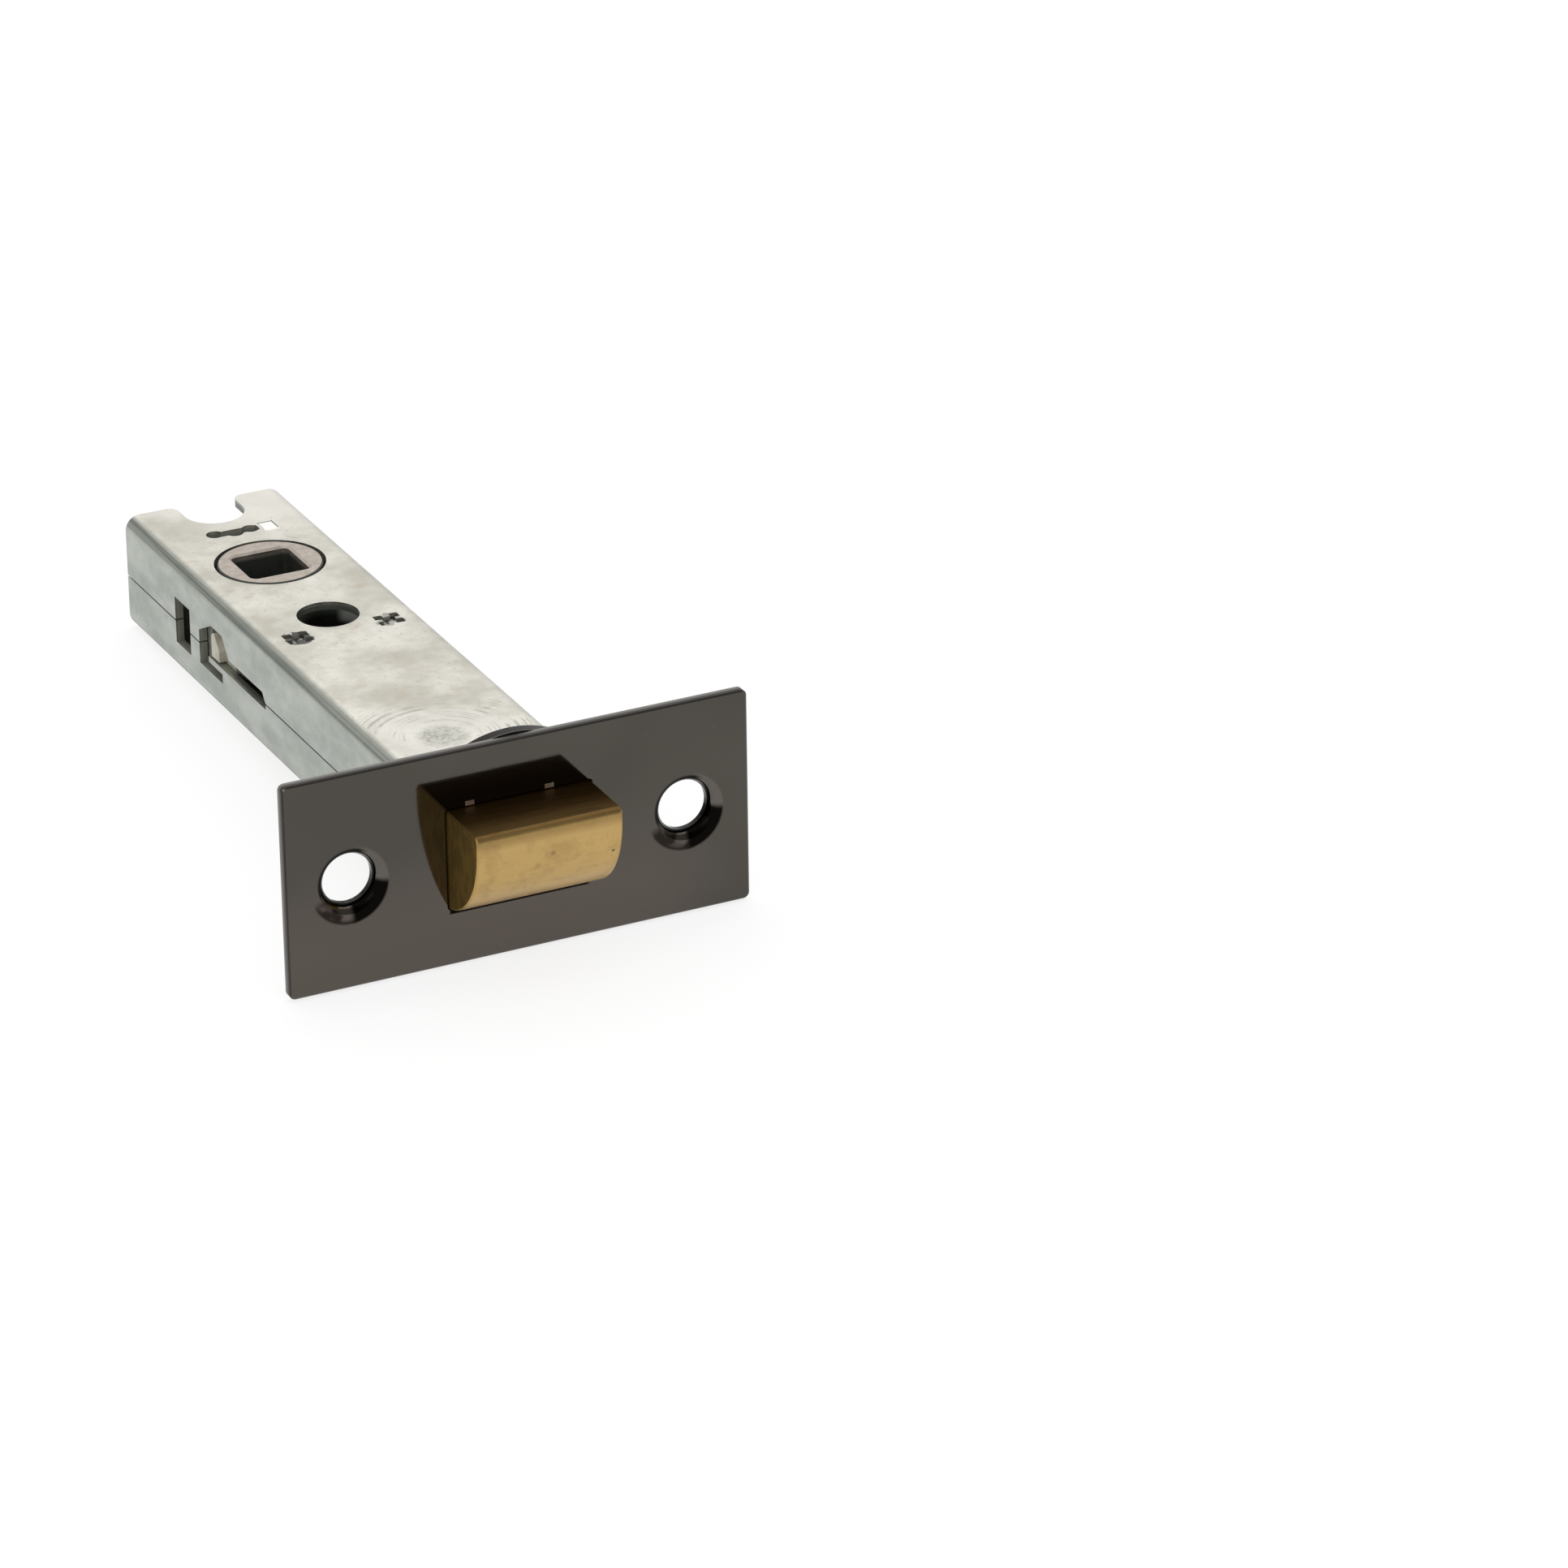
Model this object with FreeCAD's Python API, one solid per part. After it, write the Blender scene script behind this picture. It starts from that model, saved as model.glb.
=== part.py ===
"""Tubular door latch: forend plate, two-shell case, sprung brass bolt, yoke, follower and return slide.

The frame has its origin at the centre of the forend's back face. The bolt points to -Y, the case
runs to +Y, +Z is the spindle's axis and X runs along the forend. All sizes are in millimetres.
"""
import FreeCAD, Part
import math
import os

V = FreeCAD.Vector
X_AXIS = V(1, 0, 0)
Y_AXIS = V(0, 1, 0)
Z_AXIS = V(0, 0, 1)

# Forend plate with two dimpled screw holes
forend_length = 62.0
forend_height = 28.4
forend_thickness = 1.4
forend_corner_radius = 0.8
forend_edge_chamfer = 0.2
screw_spacing = 45.0
screw_hole_diameter = 6.6
countersink_diameter = 7.4
countersink_half_angle = 20.0
dimple_rim_reach = 1.1
dimple_depth = 1.9

# Round collar that carries the case behind the forend and stands a little above its edges
collar_reach = 0.3
collar_thickness = 2.0
collar_rim_chamfer = 0.5
collar_clearance = 0.05

# Case of two folded shells
case_width = 22.2
case_height = 15.7
wall = 1.1
bend_radius = 2.0
seam_height = -0.45
seam_gap = 0.2

# Places along the case, with the two plates set off from the front post and the follower
backset = 77.5
post_spacing = 38.0
post_hole_diameter = 8.1
notch_mouth_radius = 1.4
case_tail = 3.7
spring_plate_set = 5.0
rear_plate_set = 11.4

# Tabs of the upper shell, which are peened in notches of the forend
front_tab_places = (-6.5, 4.1)
front_tab_width = 1.2
front_tab_height = 0.6
front_tab_clearance = 0.05

# Windows in the sides of the case, placed along it from the follower's axis
side_slot_start = 1.1
side_slot_length = 5.0
side_slot_low = -3.5
side_slot_high = 2.9
slide_window_start = -11.9
slide_window_end = -2.0
slide_window_high = 3.5
slide_window_low = -3.3
guide_slot_start = -24.0
guide_slot_high = 0.9
guide_slot_low = -1.2
finger_thickness = 0.8
finger_root = -9.6
finger_tip = -5.0

# Brass bolt
bolt_projection = 9.1
bolt_side_clearance = 0.3
bolt_top_clearance = 0.15
bolt_opening_clearance = 0.2
bolt_opening_corner = 0.5
bolt_tail_end = 16.6
bolt_bevel_margin = 0.3
bolt_nose_flat = 1.1
bolt_nose_radius = 0.8
bolt_edge_chamfer = 0.2
bolt_shoulder = 0.3
spigot_radius = 2.5
spigot_length = 2.2

# Pin between bolt and yoke
pin_diameter = 3.3
pin_place = 13.3
pin_fit = 0.02
slot_clearance = 0.15

# Folded steel yoke
yoke_sheet = 1.2
side_clearance = 0.2
yoke_rail_half_height = 5.8
yoke_window_half_height = 2.9
yoke_front_half_height = 3.7
yoke_front_length = 16.6
yoke_web_start = 28.8
yoke_web_length = 11.6
yoke_web_clearance = 0.3
yoke_bend_radius = 1.1
yoke_end_length = 1.8

# Follower with a crossbar that works the yoke and the return slide
spindle_square = 8.1
square_corner_radius = 0.8
square_edge_chamfer = 0.3
hub_diameter = 13.8
hub_clearance = 0.4
hub_body_diameter = 15.2
hub_body_clearance = 0.2
hub_edge_chamfer = 0.2
crossbar_reach = 8.7
crossbar_tip_radius = 1.0
crossbar_half_height = 2.2
crossbar_turn = 64.0
crossbar_gap = 0.15

# Nylon return slide
slide_set = 11.2
slide_half_height = 2.65
slide_stroke = 3.55
slide_recess_half_width = 4.65
slide_recess_clearance = 0.5
slide_pad_half_width = 7.75
lug_low = -1.65
lug_high = 2.55
lug_length = 5.5
lug_corner_radius = 1.3

# Springs
bolt_wire = 1.0
bolt_coil_radius = 3.45
bolt_spring_turns = 8
return_wire = 0.75
return_coil_radius = 1.45
return_spring_turns = 5
spring_steps = 8
wire_sides = 5
return_spring_place = 6.55
spring_pip_length = 1.6
spring_pip_clearance = 0.15
spring_end_gap = 0.05

# Plates and their staked tabs
plate_thickness = 1.5
plate_side_clearance = 0.2
stake_tab_place = 6.3
stake_tab_width = 1.6
stake_slot_clearance = 0.1
stake_depth = 0.5
stake_groove = 0.5
stake_corner_size = 1.2
stake_corner_reach = (1.1, 0.95)
rear_tab_width = 6.0
rear_tab_depth = 0.9
rear_lobe_radius = 1.15
rear_lobe_places = ((-2.9, 0.3), (-0.3, -0.3), (2.0, 0.05))
rear_lug_start = 3.55
rear_lug_width = 1.9
rear_lug_spread = 2.4
rear_lug_depth = 0.05
rear_plate_corner = 1.0

# Post tube between the shells
tube_outer_diameter = 9.0
tube_clearance = 0.3

# Values that follow from the sizes above
half_width = case_width / 2
half_height = case_height / 2
inner_half_width = half_width - wall
inner_half_height = half_height - wall
follower_place = backset - forend_thickness
front_post_place = follower_place - post_spacing / 2
rear_post_place = follower_place + post_spacing / 2
case_length = rear_post_place + case_tail
spring_plate_place = front_post_place - spring_plate_set
rear_plate_place = follower_place + rear_plate_set
slide_front = follower_place - slide_set
forend_front = -forend_thickness
bolt_tip = forend_front - bolt_projection
bolt_width = 2 * (inner_half_width - bolt_side_clearance)
bolt_height = 2 * (inner_half_height - bolt_top_clearance)
opening_half_width = bolt_width / 2 + bolt_opening_clearance
opening_half_height = bolt_height / 2 + bolt_opening_clearance
yoke_outer = inner_half_width - side_clearance
yoke_inner = yoke_outer - yoke_sheet
bolt_tail_half_width = yoke_inner - side_clearance
half_turn = math.radians(crossbar_turn / 2)
crossbar_offset = crossbar_reach * math.sin(half_turn)
crossbar_half_length = crossbar_reach * math.cos(half_turn)
bolt_travel = 2 * crossbar_offset
hook_face = follower_place - crossbar_offset + crossbar_tip_radius + crossbar_gap
slide_pad = follower_place - crossbar_offset - crossbar_tip_radius - crossbar_gap
spring_plate_front = spring_plate_place - plate_thickness / 2
spring_plate_back = spring_plate_place + plate_thickness / 2


def box(x0, x1, y0, y1, z0, z1):
    """A block between two corners."""
    return Part.makeBox(x1 - x0, y1 - y0, z1 - z0, V(x0, y0, z0))


def rod(start, length, radius, axis):
    """A round rod from a point along an axis."""
    return Part.makeCylinder(radius, length, start, axis)


def edges_along(shape, axis):
    """The straight edges of a shape that run along an axis."""
    found = []
    for edge in shape.Edges:
        run = edge.lastVertex().Point - edge.firstVertex().Point
        if run.Length > 0 and abs(abs(run.dot(axis)) - run.Length) < 1e-6:
            found.append(edge)
    return found


def edges_at(shape, axis, level):
    """The edges of a shape that lie in a plane square to an axis."""
    return [edge for edge in shape.Edges
            if all(abs(vertex.Point.dot(axis) - level) < 1e-6 for vertex in edge.Vertexes)
            and abs(edge.CenterOfMass.dot(axis) - level) < 1e-6]


def rounded_bar(half_x, half_z, y0, y1, radius):
    """A bar along Y with its four long edges rounded."""
    bar = box(-half_x, half_x, y0, y1, -half_z, half_z)
    return bar.makeFillet(radius, edges_along(bar, Y_AXIS))


def side_profile(points, x0, x1):
    """A plate that is cut from an outline in the YZ plane and runs from x0 to x1."""
    corners = [V(x0, y, z) for y, z in points]
    face = Part.Face(Part.makePolygon(corners + corners[:1]))
    return face.extrude(V(x1 - x0, 0, 0))


def plan_profile(points, z0, z1):
    """A plate that is cut from an outline in the XY plane and runs from z0 to z1."""
    corners = [V(x, y, z0) for x, y in points]
    face = Part.Face(Part.makePolygon(corners + corners[:1]))
    return face.extrude(V(0, 0, z1 - z0))


def both_sides(shape):
    """A shape and its mirror image across the YZ plane."""
    return [shape, shape.mirror(V(0, 0, 0), X_AXIS)]


def save(name, shape):
    """Writes one piece to its file."""
    shape.exportStep(os.path.join("parts", name + ".step"))


def front_tab(place, clearance):
    """The block of one front tab, or of its notch when a clearance is given."""
    half = front_tab_width / 2 + clearance
    low = inner_half_height - clearance
    high = inner_half_height + front_tab_height + clearance
    return box(place - half, place + half, forend_front, wall, low, high)


def make_dish(place):
    """The cutter for a dimpled screw hole: a rolled rim, a cone and a straight hole in one profile."""
    angle = math.radians(countersink_half_angle)
    hole_radius = screw_hole_diameter / 2
    rim_radius = countersink_diameter / 2
    sink_depth = (rim_radius - hole_radius) / math.tan(angle)
    back = 2 * dimple_depth
    rim_poles = [V(rim_radius + dimple_rim_reach, 0, 0), V(rim_radius, 0, 0),
                 V(rim_radius - dimple_rim_reach * math.sin(angle), dimple_rim_reach * math.cos(angle), 0)]
    rim = Part.BezierCurve()
    rim.setPoles(rim_poles)
    rest = Part.makePolygon([rim_poles[-1], V(hole_radius, sink_depth, 0), V(hole_radius, back, 0),
                             V(0, back, 0), V(0, 0, 0), rim_poles[0]])
    dish = Part.Face(Part.Wire([rim.toShape()] + rest.Edges)).revolve(V(0, 0, 0), Y_AXIS, 360)
    dish.translate(V(place, forend_front, 0))
    return dish


def make_forend():
    """The face plate, with the bolt's opening and two dimpled screw holes."""
    plate = box(-forend_length / 2, forend_length / 2, forend_front, 0, -forend_height / 2, forend_height / 2)
    plate = plate.makeFillet(forend_corner_radius, edges_along(plate, Y_AXIS))
    plate = plate.makeChamfer(forend_edge_chamfer, edges_at(plate, Y_AXIS, forend_front))
    angle = math.radians(countersink_half_angle)
    bump = dimple_depth - forend_thickness
    bump_radius = countersink_diameter / 2 - forend_thickness * (math.tan(angle) - 1 / math.cos(angle))
    bump_end_radius = bump_radius - bump * math.tan(angle)
    for side in (-1, 1):
        place = side * screw_spacing / 2
        plate = plate.fuse(Part.makeCone(bump_radius, bump_end_radius, bump, V(place, 0, 0), Y_AXIS))
        plate = plate.cut(make_dish(place))
    opening = rounded_bar(opening_half_width, opening_half_height, forend_front - 1, 1, bolt_opening_corner)
    plate = plate.cut(opening)
    for place in front_tab_places:
        plate = plate.cut(front_tab(place, front_tab_clearance))
    return plate


def make_collar():
    """The round collar around the front end of the case."""
    disc = rod(V(0, 0, 0), collar_thickness, forend_height / 2 + collar_reach, Y_AXIS)
    disc = disc.makeChamfer(collar_rim_chamfer, edges_at(disc, Y_AXIS, collar_thickness))
    passage = rounded_bar(half_width + collar_clearance, half_height + collar_clearance, -1,
                          collar_thickness + 1, bend_radius + collar_clearance)
    return disc.cut(passage)


def make_side_windows():
    """The cutter for the windows in both sides of the case, as one outline with a finger left in it."""
    slope_run = guide_slot_high - guide_slot_low
    finger_low = guide_slot_low - finger_thickness
    window = side_profile([
        (guide_slot_start, seam_height),
        (guide_slot_start + slope_run / 2, guide_slot_high),
        (slide_window_start, guide_slot_high),
        (slide_window_start + slope_run, slide_window_high),
        (slide_window_end - 2 * slope_run, slide_window_high),
        (slide_window_end, slide_window_high - slope_run),
        (slide_window_end, slide_window_low),
        (finger_root, slide_window_low),
        (finger_root, finger_low),
        (finger_tip, finger_low),
        (finger_tip, guide_slot_low),
        (guide_slot_start, guide_slot_low),
    ], -half_width - 1, half_width + 1)
    slot = box(-half_width - 1, half_width + 1, side_slot_start, side_slot_start + side_slot_length,
               side_slot_low, side_slot_high)
    for cutter in (window, slot):
        cutter.translate(V(0, follower_place, 0))
    return [window, slot]


def tab_block(centre, width, thickness, clearance, reach):
    """The block of a staked tab of a cross plate, or of its slot when a clearance is given."""
    half_x = width / 2 + clearance
    half_y = thickness / 2 + clearance / 2
    return box(centre.x - half_x, centre.x + half_x, centre.y - half_y, centre.y + half_y, -reach, reach)


def make_face_openings():
    """The cutters for the openings in the two broad faces of the case."""
    reach = half_height + 1
    low = V(0, 0, -reach)
    run = 2 * reach
    post_radius = post_hole_diameter / 2
    cutters = [rod(low + V(0, follower_place, 0), run, hub_diameter / 2 + hub_clearance, Z_AXIS)]
    for place in (front_post_place, rear_post_place):
        cutters.append(rod(low + V(0, place, 0), run, post_radius, Z_AXIS))
    cutters.append(box(-post_radius, post_radius, rear_post_place, case_length + 1, -reach, reach))
    for side in (-1, 1):
        centre = V(side * stake_tab_place, spring_plate_place, 0)
        cutters.append(tab_block(centre, stake_tab_width, plate_thickness, stake_slot_clearance, reach))
        for along in (-1, 1):
            for across in (-1, 1):
                corner = centre + V(along * stake_corner_reach[0], across * stake_corner_reach[1], 0)
                half = stake_corner_size / 2
                cutters.append(box(corner.x - half, corner.x + half, corner.y - half, corner.y + half,
                                   -reach, reach))
    rear = V(0, rear_plate_place, 0)
    cutters.append(tab_block(rear, rear_tab_width, plate_thickness, stake_slot_clearance, reach))
    for along, across in rear_lobe_places:
        cutters.append(rod(low + rear + V(along, across, 0), run, rear_lobe_radius, Z_AXIS))
    lug = rear + V(rear_lug_start + rear_lug_width / 2, 0, 0)
    cutters.append(tab_block(lug, rear_lug_width, rear_lug_spread, stake_slot_clearance, reach))
    return cutters


def make_shells():
    """The upper and lower shells of the case, split at the seam."""
    tube = rounded_bar(half_width, half_height, 0, case_length, bend_radius)
    tube = tube.cut(rounded_bar(inner_half_width, inner_half_height, -1, case_length + 1, bend_radius - wall))
    for cutter in make_side_windows() + make_face_openings():
        tube = tube.cut(cutter)
    mouth = [edge for edge in edges_along(tube, Z_AXIS) if abs(edge.CenterOfMass.y - case_length) < 1e-6
             and abs(abs(edge.CenterOfMass.x) - post_hole_diameter / 2) < 1e-6]
    tube = tube.makeFillet(notch_mouth_radius, mouth)
    seam_low = seam_height - seam_gap / 2
    seam_high = seam_height + seam_gap / 2
    upper = tube.common(box(-half_width, half_width, 0, case_length, seam_high, half_height))
    lower = tube.common(box(-half_width, half_width, 0, case_length, -half_height, seam_low))
    for place in front_tab_places:
        upper = upper.fuse(front_tab(place, 0))
    return upper.removeSplitter(), lower


def make_bolt():
    """The brass bolt, flat on its latching side and rounded on the other, with a narrower tail."""
    top = bolt_height / 2
    arc_top = top - bolt_nose_radius - bolt_nose_flat
    drop = arc_top + top
    radius = drop + bolt_bevel_margin
    arc_centre = V(0, bolt_tip + radius, arc_top)
    arc_end_y = arc_centre.y - math.sqrt(radius ** 2 - drop ** 2)
    mid_angle = math.asin(drop / radius) / 2
    arc_mid = arc_centre - V(0, radius * math.cos(mid_angle), radius * math.sin(mid_angle))
    nose_mid = bolt_nose_radius * (1 - math.sqrt(0.5))
    corners = [V(0, bolt_shoulder, -top), V(0, bolt_shoulder, top), V(0, bolt_tip + bolt_nose_radius, top),
               V(0, bolt_tip, top - bolt_nose_radius), V(0, bolt_tip, arc_top), V(0, arc_end_y, -top)]
    outline = Part.Wire([
        Part.makeLine(corners[0], corners[1]),
        Part.makeLine(corners[1], corners[2]),
        Part.Arc(corners[2], V(0, bolt_tip + nose_mid, top - nose_mid), corners[3]).toShape(),
        Part.makeLine(corners[3], corners[4]),
        Part.Arc(corners[4], arc_mid, corners[5]).toShape(),
        Part.makeLine(corners[5], corners[0]),
    ])
    head = Part.Face(outline).extrude(V(bolt_width, 0, 0))
    head.translate(V(-bolt_width / 2, 0, 0))
    rims = [edge for edge in edges_at(head, X_AXIS, bolt_width / 2) + edges_at(head, X_AXIS, -bolt_width / 2)
            if edge.CenterOfMass.y < bolt_shoulder]
    head = head.makeChamfer(bolt_edge_chamfer, rims)
    tail = box(-bolt_tail_half_width, bolt_tail_half_width, bolt_shoulder, bolt_tail_end, -top, top)
    bolt = head.fuse(tail).fuse(rod(V(0, bolt_tail_end, 0), spigot_length, spigot_radius, Y_AXIS))
    bolt = bolt.removeSplitter()
    return bolt.cut(rod(V(-half_width, pin_place, 0), case_width, pin_diameter / 2 + pin_fit, X_AXIS))


def make_pin():
    """The cross pin that the yoke pulls the bolt by."""
    reach = yoke_outer - slot_clearance
    return rod(V(-reach, pin_place, 0), 2 * reach, pin_diameter / 2, X_AXIS)


def make_yoke():
    """The folded yoke: two side arms, a web between them, pin slots in front and inward hooks behind."""
    pin_radius = pin_diameter / 2
    slot_front = pin_place - pin_radius - slot_clearance
    slot_back = pin_place + pin_radius + bolt_travel + slot_clearance
    arm_front = bolt_shoulder + bolt_travel + side_clearance
    neck = arm_front + yoke_front_length
    arm_back = hook_face + yoke_sheet + yoke_end_length
    window_front = slide_front - slide_stroke - bolt_travel - side_clearance
    arm = box(yoke_inner, yoke_outer, arm_front, neck, -yoke_front_half_height, yoke_front_half_height)
    arm = arm.fuse(box(yoke_inner, yoke_outer, neck, arm_back, -yoke_rail_half_height, yoke_rail_half_height))
    slot_half = pin_radius + slot_clearance
    arm = arm.cut(box(yoke_inner, yoke_outer, slot_front, slot_back, -slot_half, slot_half))
    arm = arm.cut(box(yoke_inner, yoke_outer, window_front, hook_face,
                      -yoke_window_half_height, yoke_window_half_height))
    hook = box(hub_body_diameter / 2 + side_clearance, yoke_outer, hook_face, hook_face + yoke_sheet,
               -yoke_window_half_height, yoke_window_half_height)
    web_top = inner_half_height - yoke_web_clearance
    web = box(-yoke_outer, yoke_outer, yoke_web_start, yoke_web_start + yoke_web_length,
              -yoke_rail_half_height, web_top)
    bends = [edge for edge in edges_along(web, Y_AXIS) if edge.CenterOfMass.z > 0]
    web = web.makeFillet(yoke_bend_radius, bends)
    web = web.cut(box(-yoke_inner, yoke_inner, 0, case_length, -case_height, web_top - yoke_sheet))
    yoke = web
    for piece in both_sides(arm) + both_sides(hook):
        yoke = yoke.fuse(piece)
    return yoke.removeSplitter()


def make_follower():
    """The follower: a body between flush journals, a crossbar in front of its axis and a square hole."""
    axis_low = V(0, follower_place, -half_height)
    hub = rod(axis_low, case_height, hub_diameter / 2, Z_AXIS)
    rims = edges_at(hub, Z_AXIS, half_height) + edges_at(hub, Z_AXIS, -half_height)
    hub = hub.makeChamfer(hub_edge_chamfer, rims)
    body_half_height = inner_half_height - hub_body_clearance
    body_low = V(0, follower_place, -body_half_height)
    hub = hub.fuse(rod(body_low, 2 * body_half_height, hub_body_diameter / 2, Z_AXIS))
    bar_y = follower_place - crossbar_offset
    bar = box(-crossbar_half_length, crossbar_half_length, bar_y - crossbar_tip_radius,
              bar_y + crossbar_tip_radius, -crossbar_half_height, crossbar_half_height)
    for side in (-1, 1):
        tip = V(side * crossbar_half_length, bar_y, -crossbar_half_height)
        bar = bar.fuse(rod(tip, 2 * crossbar_half_height, crossbar_tip_radius, Z_AXIS))
    follower = hub.fuse(bar).removeSplitter()
    half = spindle_square / 2
    hole = box(-half, half, follower_place - half, follower_place + half, -half_height - 1, half_height + 1)
    follower = follower.cut(hole.makeFillet(square_corner_radius, edges_along(hole, Z_AXIS)))
    rim = hub_diameter / 2 - hub_edge_chamfer
    mouths = [edge for level in (-half_height, half_height) for edge in edges_at(follower, Z_AXIS, level)
              if math.hypot(edge.Vertexes[0].X, edge.Vertexes[0].Y - follower_place) < rim - hub_edge_chamfer]
    return follower.makeChamfer(square_edge_chamfer, mouths)


def make_slide():
    """The nylon slide that the return springs press against the crossbar, with a lug in each side window."""
    recess = follower_place - hub_body_diameter / 2 - slide_recess_clearance
    outer = bolt_tail_half_width
    body = plan_profile([
        (-outer, slide_front), (outer, slide_front), (outer, slide_pad), (slide_pad_half_width, slide_pad),
        (slide_recess_half_width, recess), (-slide_recess_half_width, recess),
        (-slide_pad_half_width, slide_pad), (-outer, slide_pad),
    ], -slide_half_height, slide_half_height)
    lug = box(outer, yoke_outer, slide_front, slide_front + lug_length, lug_low, lug_high)
    upper_edges = [edge for edge in edges_along(lug, X_AXIS) if edge.CenterOfMass.z > 0]
    lug = lug.makeFillet(lug_corner_radius, upper_edges)
    pip_radius = return_coil_radius - return_wire / 2 - spring_pip_clearance
    pip_start = V(return_spring_place, slide_front - spring_pip_length, 0)
    pip = rod(pip_start, spring_pip_length, pip_radius, Y_AXIS)
    for piece in both_sides(lug) + both_sides(pip):
        body = body.fuse(piece)
    return body.removeSplitter().cut(around_tube(front_post_place + slide_stroke))


def around_tube(place):
    """The cutter that keeps a piece clear of the post tube."""
    return rod(V(0, place, -half_height), case_height, tube_outer_diameter / 2 + tube_clearance, Z_AXIS)


def make_spring(centre_x, y0, y1, coil_radius, wire, turns):
    """A coil spring along Y between two seats, swept along short straight steps."""
    steps = turns * spring_steps
    start = y0 + wire / 2 + spring_end_gap
    run = y1 - y0 - wire - 2 * spring_end_gap
    points = []
    for step in range(steps + 1):
        angle = 2 * math.pi * step / spring_steps
        points.append(V(centre_x + coil_radius * math.cos(angle), start + run * step / steps,
                        coil_radius * math.sin(angle)))
    first = points[1] - points[0]
    across = first.cross(Y_AXIS).normalize() * (wire / 2)
    turn = FreeCAD.Rotation(first, 360.0 / wire_sides)
    corners = [points[0] + across]
    for side in range(wire_sides):
        across = turn.multVec(across)
        corners.append(points[0] + across)
    corners[-1] = corners[0]
    return Part.makePolygon(points).makePipeShell([Part.makePolygon(corners)], True, False, 1)


def stake(plate, centre, width, depth):
    """Adds a pair of staked tabs, above and below, to a plate across the case."""
    tip = half_height - depth
    tabs = tab_block(centre, width, plate_thickness, 0, tip)
    half = plate_thickness / 2
    groove_half = stake_groove / 2
    groove_count = round(width / stake_tab_width)
    for index in range(groove_count):
        groove_x = centre.x + width * ((index + 0.5) / groove_count - 0.5)
        for level in (-tip, tip):
            groove = box(-groove_half, groove_half, -half, half, -groove_half, groove_half)
            groove.rotate(V(0, 0, 0), Y_AXIS, 45)
            groove.translate(V(groove_x, centre.y, level))
            tabs = tabs.cut(groove)
    return plate.fuse(tabs)


def make_spring_plate():
    """The plate that both kinds of spring bear on, staked into both shells."""
    outer = yoke_inner - plate_side_clearance
    plate = box(-outer, outer, spring_plate_front, spring_plate_back, -inner_half_height, inner_half_height)
    for side in (-1, 1):
        plate = stake(plate, V(side * stake_tab_place, spring_plate_place, 0), stake_tab_width, stake_depth)
    plate = plate.fuse(rod(V(0, spring_plate_front - spigot_length, 0), spigot_length, spigot_radius, Y_AXIS))
    pip_radius = return_coil_radius - return_wire / 2 - spring_pip_clearance
    for side in (-1, 1):
        start = V(side * return_spring_place, spring_plate_back, 0)
        plate = plate.fuse(rod(start, spring_pip_length, pip_radius, Y_AXIS))
    return plate.removeSplitter().cut(around_tube(front_post_place))


def make_rear_plate():
    """The plate behind the follower that ties the two shells together."""
    half = plate_thickness / 2
    plate = box(-inner_half_width, inner_half_width, rear_plate_place - half, rear_plate_place + half,
                -inner_half_height, inner_half_height)
    plate = plate.makeChamfer(rear_plate_corner, edges_along(plate, Y_AXIS))
    centre = V(0, rear_plate_place, 0)
    plate = stake(plate, centre, rear_tab_width, rear_tab_depth)
    lug = centre + V(rear_lug_start + rear_lug_width / 2, 0, 0)
    plate = plate.fuse(tab_block(lug, rear_lug_width, plate_thickness, 0, half_height - rear_lug_depth))
    head = tab_block(lug, rear_lug_width, rear_lug_spread, 0, half_height - rear_lug_depth)
    inside = box(-half_width, half_width, 0, case_length, -inner_half_height, inner_half_height)
    return plate.fuse(head.cut(inside)).removeSplitter()


def make_post_tube():
    """The tube between the shells that keeps a through bolt from crushing the case."""
    start = V(0, front_post_place, -inner_half_height)
    tube = rod(start, 2 * inner_half_height, tube_outer_diameter / 2, Z_AXIS)
    return tube.cut(rod(start, 2 * inner_half_height, post_hole_diameter / 2, Z_AXIS))


def main():
    """Builds every piece and writes it to its file."""
    os.makedirs("parts", exist_ok=True)
    case_upper, case_lower = make_shells()
    save("forend", make_forend())
    save("collar", make_collar())
    save("case_upper", case_upper)
    save("case_lower", case_lower)
    save("latch_bolt", make_bolt())
    save("bolt_pin", make_pin())
    save("yoke", make_yoke())
    save("follower", make_follower())
    save("return_slide", make_slide())
    save("spring_plate", make_spring_plate())
    save("rear_plate", make_rear_plate())
    save("post_tube", make_post_tube())
    save("bolt_spring", make_spring(0, bolt_tail_end, spring_plate_front, bolt_coil_radius, bolt_wire,
                                    bolt_spring_turns))
    for name, side in (("return_spring_left", -1), ("return_spring_right", 1)):
        save(name, make_spring(side * return_spring_place, spring_plate_back, slide_front, return_coil_radius,
                               return_wire, return_spring_turns))


main()
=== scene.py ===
"""Looks and setting of the tubular door latch: materials, smooth springs, studio and camera."""
import math

import bpy
from mathutils import Matrix, Vector


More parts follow.
